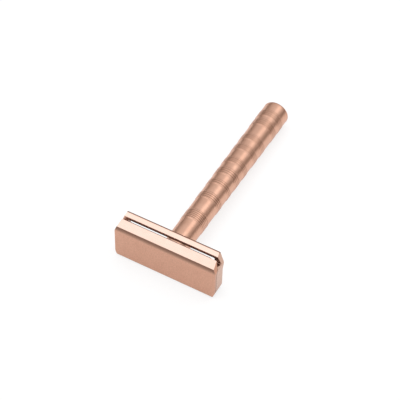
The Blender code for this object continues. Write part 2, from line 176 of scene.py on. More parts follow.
def evaluated_bmesh(ob):
    bpy.context.view_layer.update()
    graph = bpy.context.evaluated_depsgraph_get()
    me = bpy.data.meshes.new_from_object(ob.evaluated_get(graph), depsgraph=graph)
    bm = bmesh.new()
    bm.from_mesh(me)
    bpy.data.meshes.remove(me)
    return bm


def boolean(target, cutters):
    """cutters is a list of (bmesh, operation); returns the result as a bmesh."""
    helpers = []
    for i, (bm, operation) in enumerate(cutters):
        c = scratch_object("cutter_%d" % i, bm)
        helpers.append(c)
        mod = target.modifiers.new("b%d" % i, 'BOOLEAN')
        mod.operation = operation
        mod.object = c
        mod.solver = 'EXACT'
    bm = evaluated_bmesh(target)
    for o in helpers + [target]:
        me = o.data
        bpy.data.objects.remove(o, do_unlink=True)
        bpy.data.meshes.remove(me)
    return bm


def rounded(points, radii, step=math.radians(7.5)):
    """Round the corners of a closed outline; radii[i] belongs to points[i]."""
    out = []
    count = len(points)
    for i, (p, r) in enumerate(zip(points, radii)):
        a = Vector(points[i - 1]) - Vector(p)
        b = Vector(points[(i + 1) % count]) - Vector(p)
        if r <= 0:
            out.append(tuple(p))
            continue
        a.normalize()
        b.normalize()
        half = math.acos(max(-1.0, min(1.0, a.dot(b)))) / 2
        tangent = r / math.tan(half)
        start = Vector(p) + a * tangent
        end = Vector(p) + b * tangent
        centre = Vector(p) + (a + b).normalized() * (r / math.sin(half))
        sweep = math.pi - 2 * half
        steps = max(1, int(math.ceil(sweep / step)))
        u = start - centre
        v = end - centre
        a0 = math.atan2(u.y, u.x)
        a1 = math.atan2(v.y, v.x)
        turn = (a1 - a0 + math.pi) % (2 * math.pi) - math.pi
        for k in range(steps + 1):
            t = a0 + turn * k / steps
            out.append((centre.x + r * math.cos(t), centre.y + r * math.sin(t)))
    return out


def prism_x(outline, x0, x1):
    bm = bmesh.new()
    face = bm.faces.new([bm.verts.new((x0, y, z)) for y, z in outline])
    res = bmesh.ops.extrude_face_region(bm, geom=[face])
    verts = [g for g in res["geom"] if isinstance(g, bmesh.types.BMVert)]
    bmesh.ops.translate(bm, verts=verts, vec=(x1 - x0, 0, 0))
    return bm


def prism_y(outline, y0, y1):
    bm = bmesh.new()
    face = bm.faces.new([bm.verts.new((x, y0, z)) for x, z in outline])
    res = bmesh.ops.extrude_face_region(bm, geom=[face])
    verts = [g for g in res["geom"] if isinstance(g, bmesh.types.BMVert)]
    bmesh.ops.translate(bm, verts=verts, vec=(0, y1 - y0, 0))
    return bm


def turned(profile, segments, centre=(0.0, 0.0)):
    """Turn a profile of (radius, y) about the y axis; it starts and ends on the axis."""
    bm = bmesh.new()
    rings = []
    for r, y in profile:
        if r <= 1e-6:
            rings.append([bm.verts.new((centre[0], y, centre[1]))])
        else:
            rings.append([bm.verts.new((centre[0] + r * math.cos(2 * math.pi * i / segments), y,
                                        centre[1] + r * math.sin(2 * math.pi * i / segments)))
                          for i in range(segments)])
    for lo, hi in zip(rings[:-1], rings[1:]):
        for i in range(segments):
            j = (i + 1) % segments
            if len(lo) == 1:
                bm.faces.new((lo[0], hi[i], hi[j]))
            elif len(hi) == 1:
                bm.faces.new((lo[i], lo[j], hi[0]))
            else:
                bm.faces.new((lo[i], lo[j], hi[j], hi[i]))
    return bm


def cylinder_y(radius, y0, y1, segments=64, centre=(0.0, 0.0)):
    return turned([(0, y0), (radius, y0), (radius, y1), (0, y1)], segments, centre)


def soften(bm, width, segments=2, angle=30.0):
    """Round the sharp edges of a boolean result a little."""
    bmesh.ops.remove_doubles(bm, verts=bm.verts, dist=1e-4)
    bmesh.ops.dissolve_limit(bm, angle_limit=math.radians(0.4), verts=bm.verts, edges=bm.edges)
    bm.normal_update()
    edges = [e for e in bm.edges if len(e.link_faces) == 2 and e.calc_face_angle(0.0) > math.radians(angle)]
    bmesh.ops.bevel(bm, geom=edges, offset=width, offset_type='OFFSET', segments=segments,
                    profile=0.5, affect='EDGES', clamp_overlap=True, miter_outer='SHARP', miter_inner='SHARP')
    return bm


# ================================================================ head
def face_z(y):
    return CAP_FLAT_Z + y / math.tan(FACE_ANGLE)


def bed_point(offset, s):
    arc = BED_RADIUS * BED_ANGLE
    if s <= 0:
        return (BED_Y + offset, BED_BEND_Z + s)
    if s <= arc:
        t = s / BED_RADIUS
        r = BED_RADIUS - offset
        return (BED_Y + BED_RADIUS - r * math.cos(t), BED_BEND_Z + r * math.sin(t))
    t = BED_ANGLE
    r = BED_RADIUS - offset
    y = BED_Y + BED_RADIUS - r * math.cos(t)
    z = BED_BEND_Z + r * math.sin(t)
    d = s - arc
    return (y + d * math.sin(t), z + d * math.cos(t))


def bed_curve(offset, s_end, bend_steps=8):
    arc = BED_RADIUS * BED_ANGLE
    pts = [(BED_Y + offset, HEAD_BACK_Z)]
    for k in range(bend_steps + 1):
        pts.append(bed_point(offset, arc * k / bend_steps))
    pts.append(bed_point(offset, s_end))
    return pts


def lip_length():
    arc = BED_RADIUS * BED_ANGLE
    y0, z0 = bed_point(0.0, arc)
    s, c = math.sin(BED_ANGLE), math.cos(BED_ANGLE)
    k = 1 / math.tan(FACE_ANGLE)
    return arc + (CAP_FLAT_Z + k * y0 - z0) / (c - k * s)


def head_plan():
    zmin, zmax = HEAD_BACK_Z, 13.0
    x_back = HEAD_HALF_LENGTH - CORNER_TAPER * (-zmin - CORNER_START_Z)
    x_top = HEAD_HALF_LENGTH - CORNER_TAPER * (zmax - CORNER_START_Z)
    pts = [(x_back, zmin), (HEAD_HALF_LENGTH, -CORNER_START_Z), (HEAD_HALF_LENGTH, CORNER_START_Z), (x_top, zmax),
           (-x_top, zmax), (-HEAD_HALF_LENGTH, CORNER_START_Z), (-HEAD_HALF_LENGTH, -CORNER_START_Z), (-x_back, zmin)]
    return rounded(pts, [0.9, 2.0, 2.0, 0, 0, 2.0, 2.0, 0.9], math.radians(5))


def crown(steps):
    """The arc that leads from the outer flat to its edge with the cutting face."""
    end = math.acos(1 - CROWN_Y / CROWN_R)
    z0 = face_z(CROWN_Y) - CROWN_R * math.sin(end)
    return [(CROWN_R * (1 - math.cos(end * k / steps)), z0 + CROWN_R * math.sin(end * k / steps))
            for k in range(steps + 1)]


def build_cap(mat):
    bed = bed_curve(0.0, lip_length())
    arc = crown(12)
    outline = [(0.0, HEAD_BACK_Z)] + arc + [bed[-1]] + list(reversed(bed[:-1]))
    radii = [0.45] + [0.0] * (len(arc) - 1) + [0.10, 0.07] + [0.0] * (len(bed) - 2) + [0.15]
    body = scratch_object("cap_raw", prism_x(rounded(outline, radii), -30, 30))
    cutters = [
        (prism_y(head_plan(), -3, 12), 'INTERSECT'),
        (turned([(0, 0.9), (BOSS_R, 0.9), (BOSS_R, BOSS_END_Y - 0.25), (BOSS_R - 0.25, BOSS_END_Y), (0, BOSS_END_Y)], 64), 'UNION'),
        (cylinder_y(STUD_HOLE_R, STUD_START_Y - 0.10, 5.0), 'DIFFERENCE'),
    ]
    for side in (-1, 1):
        cutters.append((cylinder_y(SOCKET_R, SOCKET_Y, 3.0, 48, (side * PIN_X, 0.0)), 'DIFFERENCE'))
    bm = soften(boolean(body, cutters), 0.10)
    return make_object("cap_shell", bm, mat, weighted=True)


def guard_outline():
    """Outline of the guard: bed, groove, safety bar, slope down to the flat back."""
    arc = BED_RADIUS * BED_ANGLE
    s_end = arc + (GROOVE_BED_Z - bed_point(GUARD_GAP, arc)[1]) / math.cos(BED_ANGLE)
    bed = bed_curve(GUARD_GAP, s_end)
    front = (BAR_FRONT_Y, face_z(BAR_FRONT_Y))
    top = (BAR_BACK_Y, face_z(BAR_BACK_Y))
    pts = bed + [GROOVE_ROOT, BAR_INNER, front, top, (BAR_BACK_Y, SWELL_TOP_Z),
                 (HEAD_THICK_Y, SWELL_FOOT_Z), (HEAD_THICK_Y, HEAD_BACK_Z)]
    radii = [0.15] + [0.0] * (len(bed) - 2) + [0.10, 0.25, 0.0, 0.08, BAR_BACK_R, 1.0, 1.0, 0.4]
    return rounded(pts, radii)


def build_guard(mat):
    body = scratch_object("guard_raw", prism_x(guard_outline(), -30, 30))
    slot_outline = [(4.6, 7.4), (4.9, 6.6), (5.5, 6.4), (8.2, 4.2), (8.2, 5.24), (4.96, 9.33)]
    cutters = [
        (prism_y(head_plan(), -3, 12), 'INTERSECT'),
        (prism_x(slot_outline, -SLOT_HALF, SLOT_HALF), 'DIFFERENCE'),
        (cylinder_y(SPOT_FACE_R, HEAD_THICK_Y, 9.0, 144), 'DIFFERENCE'),
    ]
    cutters.append((cylinder_y(RECESS_R, 0.0, RECESS_END_Y), 'DIFFERENCE'))
    cutters.append((cylinder_y(GUARD_HOLE_R, 2.0, 9.0), 'DIFFERENCE'))
    for side in (-1, 1):
        cutters.append((cylinder_y(PIN_HOLE_R, 0.0, PIN_HOLE_END_Y, 48, (side * PIN_X, 0.0)), 'DIFFERENCE'))
    bm = soften(boolean(body, cutters), 0.08)
    return make_object("guard_shell", bm, mat, weighted=True)


def build_pin(name, x, mat):
    c = 0.2
    prof = [(0, PIN_TIP_Y)]
    for k in range(5):
        t = math.pi / 2 * k / 4
        prof.append((PIN_R - c + c * math.sin(t), PIN_TIP_Y + c - c * math.cos(t)))
    for k in range(5):
        t = math.pi / 2 * k / 4
        prof.append((PIN_R - c + c * math.cos(t), PIN_FOOT_Y - c + c * math.sin(t)))
    prof.append((0, PIN_FOOT_Y))
    return make_object(name, turned(prof, 64, (x, 0.0)), mat)


# ================================================================ blade
def blade_outline():
    def notch(cx, radius, steps):
        w0 = -BLADE_BACK_Z
        reach = math.sqrt(radius * radius - w0 * w0)
        a0 = math.atan2(-w0, reach)
        a1 = math.pi - a0
        return [(cx + radius * math.cos(a0 + (a1 - a0) * k / steps),
                 max(0.0, w0 + radius * math.sin(a0 + (a1 - a0) * k / steps))) for k in range(steps + 1)]
    pts = [(-BLADE_TAB_HALF, 0.0), (-BLADE_TAB_HALF, BLADE_TAB_WIDTH - 0.6)]
    for k in range(1, 6):
        t = math.pi / 2 * k / 6
        pts.append((-BLADE_TAB_HALF + 0.6 - 0.6 * math.cos(t), BLADE_TAB_WIDTH - 0.6 + 0.6 * math.sin(t)))
    pts.append((-BLADE_TAB_HALF + 0.6, BLADE_TAB_WIDTH))
    pts.append((-BLADE_EDGE_HALF - 0.2, BLADE_TAB_WIDTH + 0.25))
    pts.append((-BLADE_EDGE_HALF, BLADE_TAB_WIDTH + 0.9))
    pts.append((-BLADE_EDGE_HALF, BLADE_WIDTH))
    pts += [(-x, w) for x, w in reversed(pts)]
    pts += notch(PIN_X, 1.45, 20)
    pts += notch(0.0, 3.25, 32)
    pts += notch(-PIN_X, 1.45, 20)
    return pts


def build_blade(mat):
    bm = bmesh.new()
    face = bm.faces.new([bm.verts.new((x, 0.0, w)) for x, w in blade_outline()])
    res = bmesh.ops.extrude_face_region(bm, geom=[face])
    verts = [g for g in res["geom"] if isinstance(g, bmesh.types.BMVert)]
    bmesh.ops.translate(bm, verts=verts, vec=(0, 1.0, 0))
    arc = BED_RADIUS * BED_ANGLE
    s0 = BLADE_BACK_Z - BED_BEND_Z
    ground_width = 0.75
    cuts = [arc * k / 12 - s0 for k in range(13)] + [BLADE_WIDTH - ground_width, BLADE_WIDTH - 0.3]
    for w in cuts:
        bmesh.ops.bisect_plane(bm, geom=bm.verts[:] + bm.edges[:] + bm.faces[:], dist=1e-6,
                               plane_co=(0, 0, w), plane_no=(0, 0, 1))
    for v in bm.verts:
        w = v.co.z
        ground = max(0.0, min(1.0, (w - (BLADE_WIDTH - ground_width)) / ground_width))
        inset = 0.043 * ground
        off = BLADE_OFFSET + inset if v.co.y < 0.5 else BLADE_OFFSET + BLADE_THICK - inset
        y, z = bed_point(off, s0 + w)
        v.co = Vector((v.co.x, y, z))
    bmesh.ops.triangulate(bm, faces=[f for f in bm.faces if len(f.verts) > 4])
    return make_object("blade_strip", bm, mat, 20.0)


# ================================================================ threaded stud
def thread_height(phase):
    u = phase % 1.0
    flank, crest = 0.33, 0.125
    if u < flank:
        return u / flank
    if u < flank + crest:
        return 1.0
    if u < 2 * flank + crest:
        return 1.0 - (u - flank - crest) / flank
    return 0.0


def build_stud(mat):
    n = 64
    per_turn = 18
    y0, y1 = THREAD_START_Y, STUD_END_Y - 0.4
    rows = int(round((y1 - y0) / PITCH * per_turn))
    bm = bmesh.new()

    def ring(radius, y):
        return [bm.verts.new((radius * math.cos(2 * math.pi * i / n), y,
                              radius * math.sin(2 * math.pi * i / n))) for i in range(n)]
    r = STUD_ROOT_R
    rings = [ring(r - 0.2, STUD_START_Y), ring(r - 0.06, STUD_START_Y + 0.06), ring(r, STUD_START_Y + 0.2)]
    for j in range(rows + 1):
        y = y0 + (y1 - y0) * j / rows
        fade = max(0.0, min(1.0, (y - y0) / 0.8)) * max(0.0, min(1.0, (y1 - y) / 1.3))
        loop = []
        for i in range(n):
            ang = 2 * math.pi * i / n
            k = thread_height(y / PITCH + ang / (2 * math.pi)) * fade
            radius = r + (STUD_CREST_R - r) * k
            loop.append(bm.verts.new((radius * math.cos(ang), y, radius * math.sin(ang))))
        rings.append(loop)
    rings.append(ring(r - 0.4, STUD_END_Y))
    for a, b in zip(rings[:-1], rings[1:]):
        for i in range(n):
            j = (i + 1) % n
            bm.faces.new((a[i], a[j], b[j], b[i]))
    bm.faces.new(rings[0])
    bm.faces.new(rings[-1])
    return make_object("stud_threaded", bm, mat, 40.0)


# ================================================================ handle
def mean_radius(y):
    t = (y - HANDLE_START_Y) / (HANDLE_END_Y - HANDLE_START_Y)
    return HANDLE_R_START + (HANDLE_R_END - HANDLE_R_START) * t


def smoothstep(t):
    t = np.clip(t, 0.0, 1.0)
    return t * t * (3 - 2 * t)


def axial_pitch(band):
    """Spacing of the ring grooves that fits a whole number of lands into a band."""
    a, b = band
    return (b - a) / round((b - a) / KNURL_PITCH)


def band_rows():
    """Positions along y of the mesh rings; inside a band they follow the grooves."""
    ys = [HANDLE_START_Y, HANDLE_START_Y + 0.08, HANDLE_START_Y + 0.17, HANDLE_START_Y + SHOULDER_CHAMFER]
    last = ys[-1]
    for a, b in GRIP_BANDS:
        step = axial_pitch((a, b)) / KNURL_ROWS
        gap = a - 2 * step - last
        count = max(2, int(gap / 1.8))
        ys += [last + gap * k / count for k in range(1, count + 1)]
        rows = int(math.ceil((b - a) / step)) + 4
        ys += [a + step * (k - 2) for k in range(1, rows + 1)]
        last = ys[-1]
    stop = HANDLE_END_Y - END_ROUND
    ys += [last + (stop - last) * k / 4 for k in range(1, 5)]
    return ys


def tri(phase):
    """1 on the middle of a flank-to-flank period, 0 in the groove."""
    return 1.0 - np.abs(2.0 * (phase % 1.0) - 1.0)


def handle_radius(y, turn):
    """Radius and groove depth (0 to 1) at a position along the handle and an array of turns."""
    base = mean_radius(y) - GROOVE_DROP
    if y < HANDLE_START_Y + SHOULDER_CHAMFER:
        t = (y - HANDLE_START_Y) / SHOULDER_CHAMFER
        base -= SHOULDER_CHAMFER * (1.0 - math.sin(math.pi / 2 * t))
    for band in GRIP_BANDS:
        a, b = band
        if a - 0.02 < y < b + 0.02:
            up = float(smoothstep((y - a) / BAND_EDGE))
            down = float(smoothstep((b - y) / BAND_EDGE))
            lift = min(up, down)
            u = turn * KNURL_COUNT
            v = (y - a) / axial_pitch(band)
            ring = 1.0 - min(float(tri(np.float64(v))) / 0.375, 1.0)
            flute = 1.0 - np.minimum(tri(u) / 0.25, 1.0)
            cavity = np.maximum(ring, 0.5 * flute) * lift
            return base + lift * (BAND_RISE + GROOVE_DROP) - KNURL_DEPTH * cavity, cavity
    return np.full(turn.shape, base), np.zeros(turn.shape)


def build_handle(mat):
    n = HANDLE_SEGMENTS
    turn = np.arange(n) / n
    rings = [(*handle_radius(y, turn), y) for y in band_rows()]
    r = HANDLE_R_END
    none = np.zeros(n)
    for k in range(0, 11):
        t = math.pi / 2 * k / 10
        rr = r - END_ROUND + END_ROUND * math.cos(t)
        if k == 0:
            rr = r - 0.004
        rings.append((np.full(n, rr), none, HANDLE_END_Y - END_ROUND + END_ROUND * math.sin(t) + (0.02 if k == 0 else 0)))
    for rr in (3.6, 2.0, 0.7):
        rings.append((np.full(n, rr), none, HANDLE_END_Y))

    bm = bmesh.new()
    # the groove depth; the material also paints shade in the grooves from it
    cavity_layer = bm.verts.layers.float.new("cavity")
    loops = []
    ca, sa = np.cos(2 * np.pi * turn), np.sin(2 * np.pi * turn)
    for radius, cavity, y in rings:
        loop = []
        for i in range(n):
            v = bm.verts.new((float(radius[i] * ca[i]), y, float(radius[i] * sa[i])))
            v[cavity_layer] = float(cavity[i])
            loop.append(v)
        loops.append(loop)
    centre = bm.verts.new((0.0, HANDLE_END_Y, 0.0))
    for a, b in zip(loops[:-1], loops[1:]):
        for i in range(n):
            j = (i + 1) % n
            bm.faces.new((a[i], a[j], b[j], b[i]))
    for i in range(n):
        bm.faces.new((loops[-1][i], loops[-1][(i + 1) % n], centre))
    # the bore for the threaded insert, from the shoulder in
    m = n // 4
    bore = [(INSERT_BORE_R + 0.3, HANDLE_START_Y), (INSERT_BORE_R, HANDLE_START_Y + 0.3),
            (INSERT_BORE_R, INSERT_BORE_END_Y), (RELIEF_R, INSERT_BORE_END_Y), (RELIEF_R, RELIEF_END_Y)]
    inner = []
    for rad, y in bore:
        inner.append([bm.verts.new((rad * math.cos(2 * math.pi * i / m), y, rad * math.sin(2 * math.pi * i / m)))
                      for i in range(m)])
    for a, b in zip(inner[:-1], inner[1:]):
        for i in range(m):
            j = (i + 1) % m
            bm.faces.new((a[j], a[i], b[i], b[j]))
    tip = bm.verts.new((0.0, RELIEF_END_Y + 1.2, 0.0))
    for i in range(m):
        bm.faces.new((inner[-1][(i + 1) % m], inner[-1][i], tip))
    first = loops[0]
    for i in range(m):
        j = (i + 1) % m
        outer = [first[(4 * i + k) % n] for k in range(5)]
        bm.faces.new([inner[0][i], inner[0][j]] + list(reversed(outer)))
    return make_object("handle_shaft", bm, mat, 50.0)


# ================================================================ materials
def srgb(r, g, b):
    def lin(c):
        c /= 255.0
        return c / 12.92 if c <= 0.04045 else ((c + 0.055) / 1.055) ** 2.4
    return (lin(r), lin(g), lin(b), 1.0)


class Nodes:
    """Small helper for building a node tree."""

    def __init__(self, mat):
        mat.use_nodes = True
        self.nt = mat.node_tree
        self.nt.nodes.clear()
        self.out = self.nt.nodes.new("ShaderNodeOutputMaterial")
        self.bsdf = self.nt.nodes.new("ShaderNodeBsdfPrincipled")
        self.nt.links.new(self.bsdf.outputs[0], self.out.inputs[0])
        tc = self.nt.nodes.new("ShaderNodeTexCoord")
        # object coordinates turned to the razor's own axes, in millimetres
        turn = Matrix((AXIS_X, AXIS_Y, AXIS_Z))
        self.coord = self.mapping(tc.outputs["Object"], rotation=turn.to_euler(), scale=(1000, 1000, 1000),
                                  location=tuple(-1000 * (turn @ ORIGIN)))

    def link(self, a, b):
        self.nt.links.new(a, b)

    def mapping(self, src, scale=(1, 1, 1), rotation=(0, 0, 0), location=(0, 0, 0)):
        n = self.nt.nodes.new("ShaderNodeMapping")
        n.vector_type = 'POINT'
        n.inputs["Scale"].default_value = scale
        n.inputs["Rotation"].default_value = rotation
        n.inputs["Location"].default_value = location
        self.link(src, n.inputs["Vector"])
        return n.outputs[0]

    def noise(self, scale, detail=3.0, rough=0.55, coord=None, distortion=0.0):
        n = self.nt.nodes.new("ShaderNodeTexNoise")
        n.inputs["Scale"].default_value = scale
        n.inputs["Detail"].default_value = detail
        n.inputs["Roughness"].default_value = rough
        n.inputs["Distortion"].default_value = distortion
        self.link(coord or self.coord, n.inputs["Vector"])
        return n.outputs["Fac"]

    def voronoi(self, scale, coord=None, feature='F1'):
        n = self.nt.nodes.new("ShaderNodeTexVoronoi")
        n.feature = feature
        n.inputs["Scale"].default_value = scale
        self.link(coord or self.coord, n.inputs["Vector"])
        return n.outputs["Distance"]

    def ramp(self, fac, lo, hi, a=0.0, b=1.0):
        n = self.nt.nodes.new("ShaderNodeMapRange")
        n.inputs["From Min"].default_value = lo
        n.inputs["From Max"].default_value = hi
        n.inputs["To Min"].default_value = a
        n.inputs["To Max"].default_value = b
        self.link(fac, n.inputs["Value"])
        return n.outputs["Result"]

    def maths(self, op, a, b=0.0):
        n = self.nt.nodes.new("ShaderNodeMath")
        n.operation = op
        for k, s in enumerate((a, b)):
            if isinstance(s, (int, float)):
                n.inputs[k].default_value = s
            else:
                self.link(s, n.inputs[k])
        return n.outputs[0]

    def mix(self, fac, a, b):
        n = self.nt.nodes.new("ShaderNodeMix")
        n.data_type = 'RGBA'
        n.blend_type = 'MIX'
        for name, s in (("Factor", fac), ("A", a), ("B", b)):
            sock = [i for i in n.inputs if i.name == name and (i.type == 'RGBA' or name == "Factor" and i.type == 'VALUE')][0]
            if isinstance(s, (int, float, tuple)):
                sock.default_value = s
            else:
                self.link(s, sock)
        return [o for o in n.outputs if o.type == 'RGBA'][0]

    def bump(self, height, strength, distance, normal=None):
        n = self.nt.nodes.new("ShaderNodeBump")
        n.inputs["Strength"].default_value = strength
        n.inputs["Distance"].default_value = distance
        self.link(height, n.inputs["Height"])
        if normal is not None:
            self.link(normal, n.inputs["Normal"])
        return n.outputs["Normal"]

    def geometry(self, name):
        n = self.nt.nodes.new("ShaderNodeNewGeometry")
        return n.outputs[name]

    def crevice(self, distance, lo, hi):
        """1 where the surface is shut in by its surroundings, 0 in the open; it masks painted shade in hollows."""
        n = self.nt.nodes.new("ShaderNodeAmbientOcclusion")
        n.samples = 8
        n.inputs["Distance"].default_value = distance
        return self.ramp(n.outputs["AO"], hi, lo)

    def attribute(self, name):
        n = self.nt.nodes.new("ShaderNodeAttribute")
        n.attribute_name = name
        return n.outputs["Fac"]

    def end_face(self):
        """1 on the faces that look along the head, 0 elsewhere; it masks the painted shade on the ends."""
        across = self.maths('ABSOLUTE', self.separate(self.geometry("Normal"))["X"])
        return self.ramp(across, 0.5, 0.85)

    def separate(self, vec):
        n = self.nt.nodes.new("ShaderNodeSeparateXYZ")
        self.link(vec, n.inputs[0])
        return n.outputs


FLAT_TONE = (0.790, 0.458, 0.330, 1)
FLAT_DARK = (0.732, 0.413, 0.294, 1)
FACE_TONE = (0.89, 0.645, 0.545, 1)
FACE_DARK = (0.86, 0.610, 0.505, 1)
SHAFT_TONE = (0.85, 0.510, 0.370, 1)
SHAFT_DARK = (0.77, 0.440, 0.310, 1)
# painted shade: darker, deeper tones for the end faces, not the plate's own colour
CAP_END_PAINTED_SHADE = (0.640, 0.330, 0.220, 1)
GUARD_END_PAINTED_SHADE = (0.666, 0.428, 0.327, 1)
# painted shade for a dark line along the guard bar's rear edge
REAR_EDGE_PAINTED_SHADE = (0.30, 0.155, 0.105, 1)
# painted shade for hollows, laid in by ambient occlusion
CREVICE_PAINTED_SHADE = (0.16, 0.055, 0.025, 1)


def copper_cap(name):
    """Rose-gold plate: fine blasted grain on the outer flat, satin on the cutting face and ends."""
    mat = bpy.data.materials.new(name)
    t = Nodes(mat)
    cloud = t.noise(0.22, 4.0, 0.6)
    speck = t.noise(1.5, 2.0, 0.7)
    grain = t.noise(9.0, 2.0, 0.6)
    lines = t.noise(1.0, 3.0, 0.6, t.mapping(t.coord, scale=(0.12, 14.0, 14.0)))
    face = t.ramp(t.separate(t.coord)["Y"], 0.30, 0.38)
    flat = t.mix(t.ramp(cloud, 0.3, 0.7), FLAT_TONE, FLAT_DARK)
    flat = t.mix(t.ramp(speck, 0.35, 0.65, 0.0, 0.55), flat, tuple(0.78 * c for c in FLAT_DARK[:3]) + (1,))
    satin = t.mix(t.ramp(cloud, 0.3, 0.7), FACE_TONE, FACE_DARK)
    # painted shade: the end faces take a darker tone
    satin = t.mix(t.end_face(), satin, CAP_END_PAINTED_SHADE)
    # painted shade: the flat is darkened towards its roll-over into the cutting face, in place of a dark reflection
    # there
    rollover_painted_shade = t.ramp(t.separate(t.coord)["Z"], 6.0, 7.5, 0.0, 0.9)
    flat = t.mix(rollover_painted_shade, flat, tuple(0.40 * c for c in FLAT_DARK[:3]) + (1,))
    base = t.mix(face, flat, satin)
    # painted shade in hollows, from ambient occlusion
    base = t.mix(t.crevice(0.0012, 0.25, 0.70), base, CREVICE_PAINTED_SHADE)
    t.link(base, t.bsdf.inputs["Base Color"])
    t.bsdf.inputs["Metallic"].default_value = 1.0
    matt = t.ramp(speck, 0.2, 0.8, 0.38, 0.48)
    sheen = t.ramp(lines, 0.3, 0.7, 0.24, 0.34)
    rough = t.maths('ADD', t.maths('MULTIPLY', matt, t.maths('SUBTRACT', 1.0, face)), t.maths('MULTIPLY', sheen, face))
    t.link(rough, t.bsdf.inputs["Roughness"])
    height = t.maths('ADD', grain, t.maths('MULTIPLY', speck, 0.8))
    t.link(t.bump(height, 0.35, 0.00005), t.bsdf.inputs["Normal"])
    return mat


def copper_satin(name):
    """Rose-gold plate, satin, with fine lines drawn along the head."""
    mat = bpy.data.materials.new(name)
    t = Nodes(mat)
    lines = t.noise(1.0, 3.0, 0.6, t.mapping(t.coord, scale=(0.12, 14.0, 14.0)))
    cloud = t.noise(0.25, 4.0, 0.6)
    base = t.mix(t.ramp(cloud, 0.3, 0.7), FACE_TONE, FACE_DARK)
    # painted shade: the end faces take a darker tone
    base = t.mix(t.end_face(), base, GUARD_END_PAINTED_SHADE)
    # painted shade: a dark line along the bar's rounded rear edge
    place = t.separate(t.coord)
    rear_edge_painted_shade = t.maths('MULTIPLY', t.ramp(place["Y"], 6.45, 6.70), t.ramp(place["Z"], 10.9, 11.15))
    base = t.mix(rear_edge_painted_shade, base, REAR_EDGE_PAINTED_SHADE)
    # painted shade in hollows, from ambient occlusion
    base = t.mix(t.crevice(0.0018, 0.30, 0.80), base, CREVICE_PAINTED_SHADE)
    t.link(base, t.bsdf.inputs["Base Color"])
    t.bsdf.inputs["Metallic"].default_value = 1.0
    t.link(t.ramp(lines, 0.3, 0.7, 0.22, 0.32), t.bsdf.inputs["Roughness"])
    t.link(t.bump(lines, 0.25, 0.00002), t.bsdf.inputs["Normal"])
    return mat


def copper_turned(name):
    """Rose-gold plate over a turned bar: fine rings round the shaft, with painted shade in the knurling's grooves."""
    mat = bpy.data.materials.new(name)
    t = Nodes(mat)
    rings = t.noise(1.0, 4.0, 0.65, t.mapping(t.coord, scale=(0.10, 9.0, 0.10)))
    fine = t.noise(7.0, 2.0, 0.6)
    cloud = t.noise(0.2, 4.0, 0.6)
    base = t.mix(t.ramp(cloud, 0.3, 0.7), SHAFT_TONE, SHAFT_DARK)
    base = t.mix(t.ramp(rings, 0.4, 0.75, 0.0, 0.4), base, tuple(0.85 * c for c in SHAFT_DARK[:3]) + (1,))
    # painted shade: the knurling's grooves darkened by their depth
    cavity = t.ramp(t.attribute("cavity"), 0.10, 1.0, 0.0, 0.95)
    base = t.mix(cavity, base, (0.22, 0.09, 0.05, 1))
    # painted shade in hollows, from ambient occlusion
    base = t.mix(t.crevice(0.0010, 0.20, 0.60), base, CREVICE_PAINTED_SHADE)
    t.link(base, t.bsdf.inputs["Base Color"])
    t.bsdf.inputs["Metallic"].default_value = 1.0
    rough = t.maths('ADD', t.ramp(rings, 0.3, 0.7, 0.28, 0.38), t.maths('MULTIPLY', t.attribute("cavity"), 0.06))
    t.link(rough, t.bsdf.inputs["Roughness"])
    n1 = t.bump(rings, 0.3, 0.00004)
    t.link(t.bump(fine, 0.15, 0.00002, n1), t.bsdf.inputs["Normal"])
    return mat


def steel(name, tint=(0.62, 0.62, 0.63, 1), stretch=(0.1, 8.0, 8.0), rough=(0.20, 0.34)):
    mat = bpy.data.materials.new(name)
    t = Nodes(mat)
    lines = t.noise(1.0, 3.0, 0.6, t.mapping(t.coord, scale=stretch))
    cloud = t.noise(0.6, 3.0, 0.6)
    dark = tuple(c * 0.82 for c in tint[:3]) + (1,)
    t.link(t.mix(t.ramp(cloud, 0.3, 0.7), tint, dark), t.bsdf.inputs["Base Color"])
    t.bsdf.inputs["Metallic"].default_value = 1.0
    t.link(t.ramp(lines, 0.3, 0.7, *rough), t.bsdf.inputs["Roughness"])
    t.link(t.bump(lines, 0.25, 0.00002), t.bsdf.inputs["Normal"])
    return mat


CAP_METAL = copper_cap("rose_gold_blasted")
GUARD_METAL = copper_satin("rose_gold_satin")
HANDLE_METAL = copper_turned("rose_gold_turned")
BLADE_STEEL = steel("stainless_strip", (0.66, 0.67, 0.68, 1))
STUD_STEEL = steel("stud_steel", (0.58, 0.57, 0.56, 1), (0.2, 6.0, 0.2))
PIN_STEEL = steel("dowel_steel", (0.60, 0.60, 0.61, 1), (0.2, 10.0, 0.2), (0.16, 0.26))
INSERT_BRASS = steel("insert_brass", (0.72, 0.53, 0.26, 1), (0.2, 10.0, 0.2), (0.24, 0.36))

# ================================================================ pieces
cap = build_cap(CAP_METAL)
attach(cap, "cap"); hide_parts("top_cap")
guard = build_guard(GUARD_METAL)
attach(guard, "guard"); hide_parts("guard_plate")
for side, x in (("left", -PIN_X), ("right", PIN_X)):
    pin = build_pin("dowel_" + side, x, PIN_STEEL)
    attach(pin, "guard"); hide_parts("locating_pin_" + side)
blade = build_blade(BLADE_STEEL)
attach(blade, "blade"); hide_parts("razor_blade")
stud = build_stud(STUD_STEEL)
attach(stud, "cap"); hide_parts("threaded_stud")
handle = build_handle(HANDLE_METAL)
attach(handle, "handle"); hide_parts("handle_body")
insert = NODES["handle_thread_insert"]
insert.data.materials.clear()
insert.data.materials.append(INSERT_BRASS)

# ================================================================ floor, light, camera
FLOOR_SIZE = 1.6
FLOOR_GLOW = 1.15
FLOOR_GLOW_SHARE = 0.65
FLOOR_GLOW_REST = 0.35


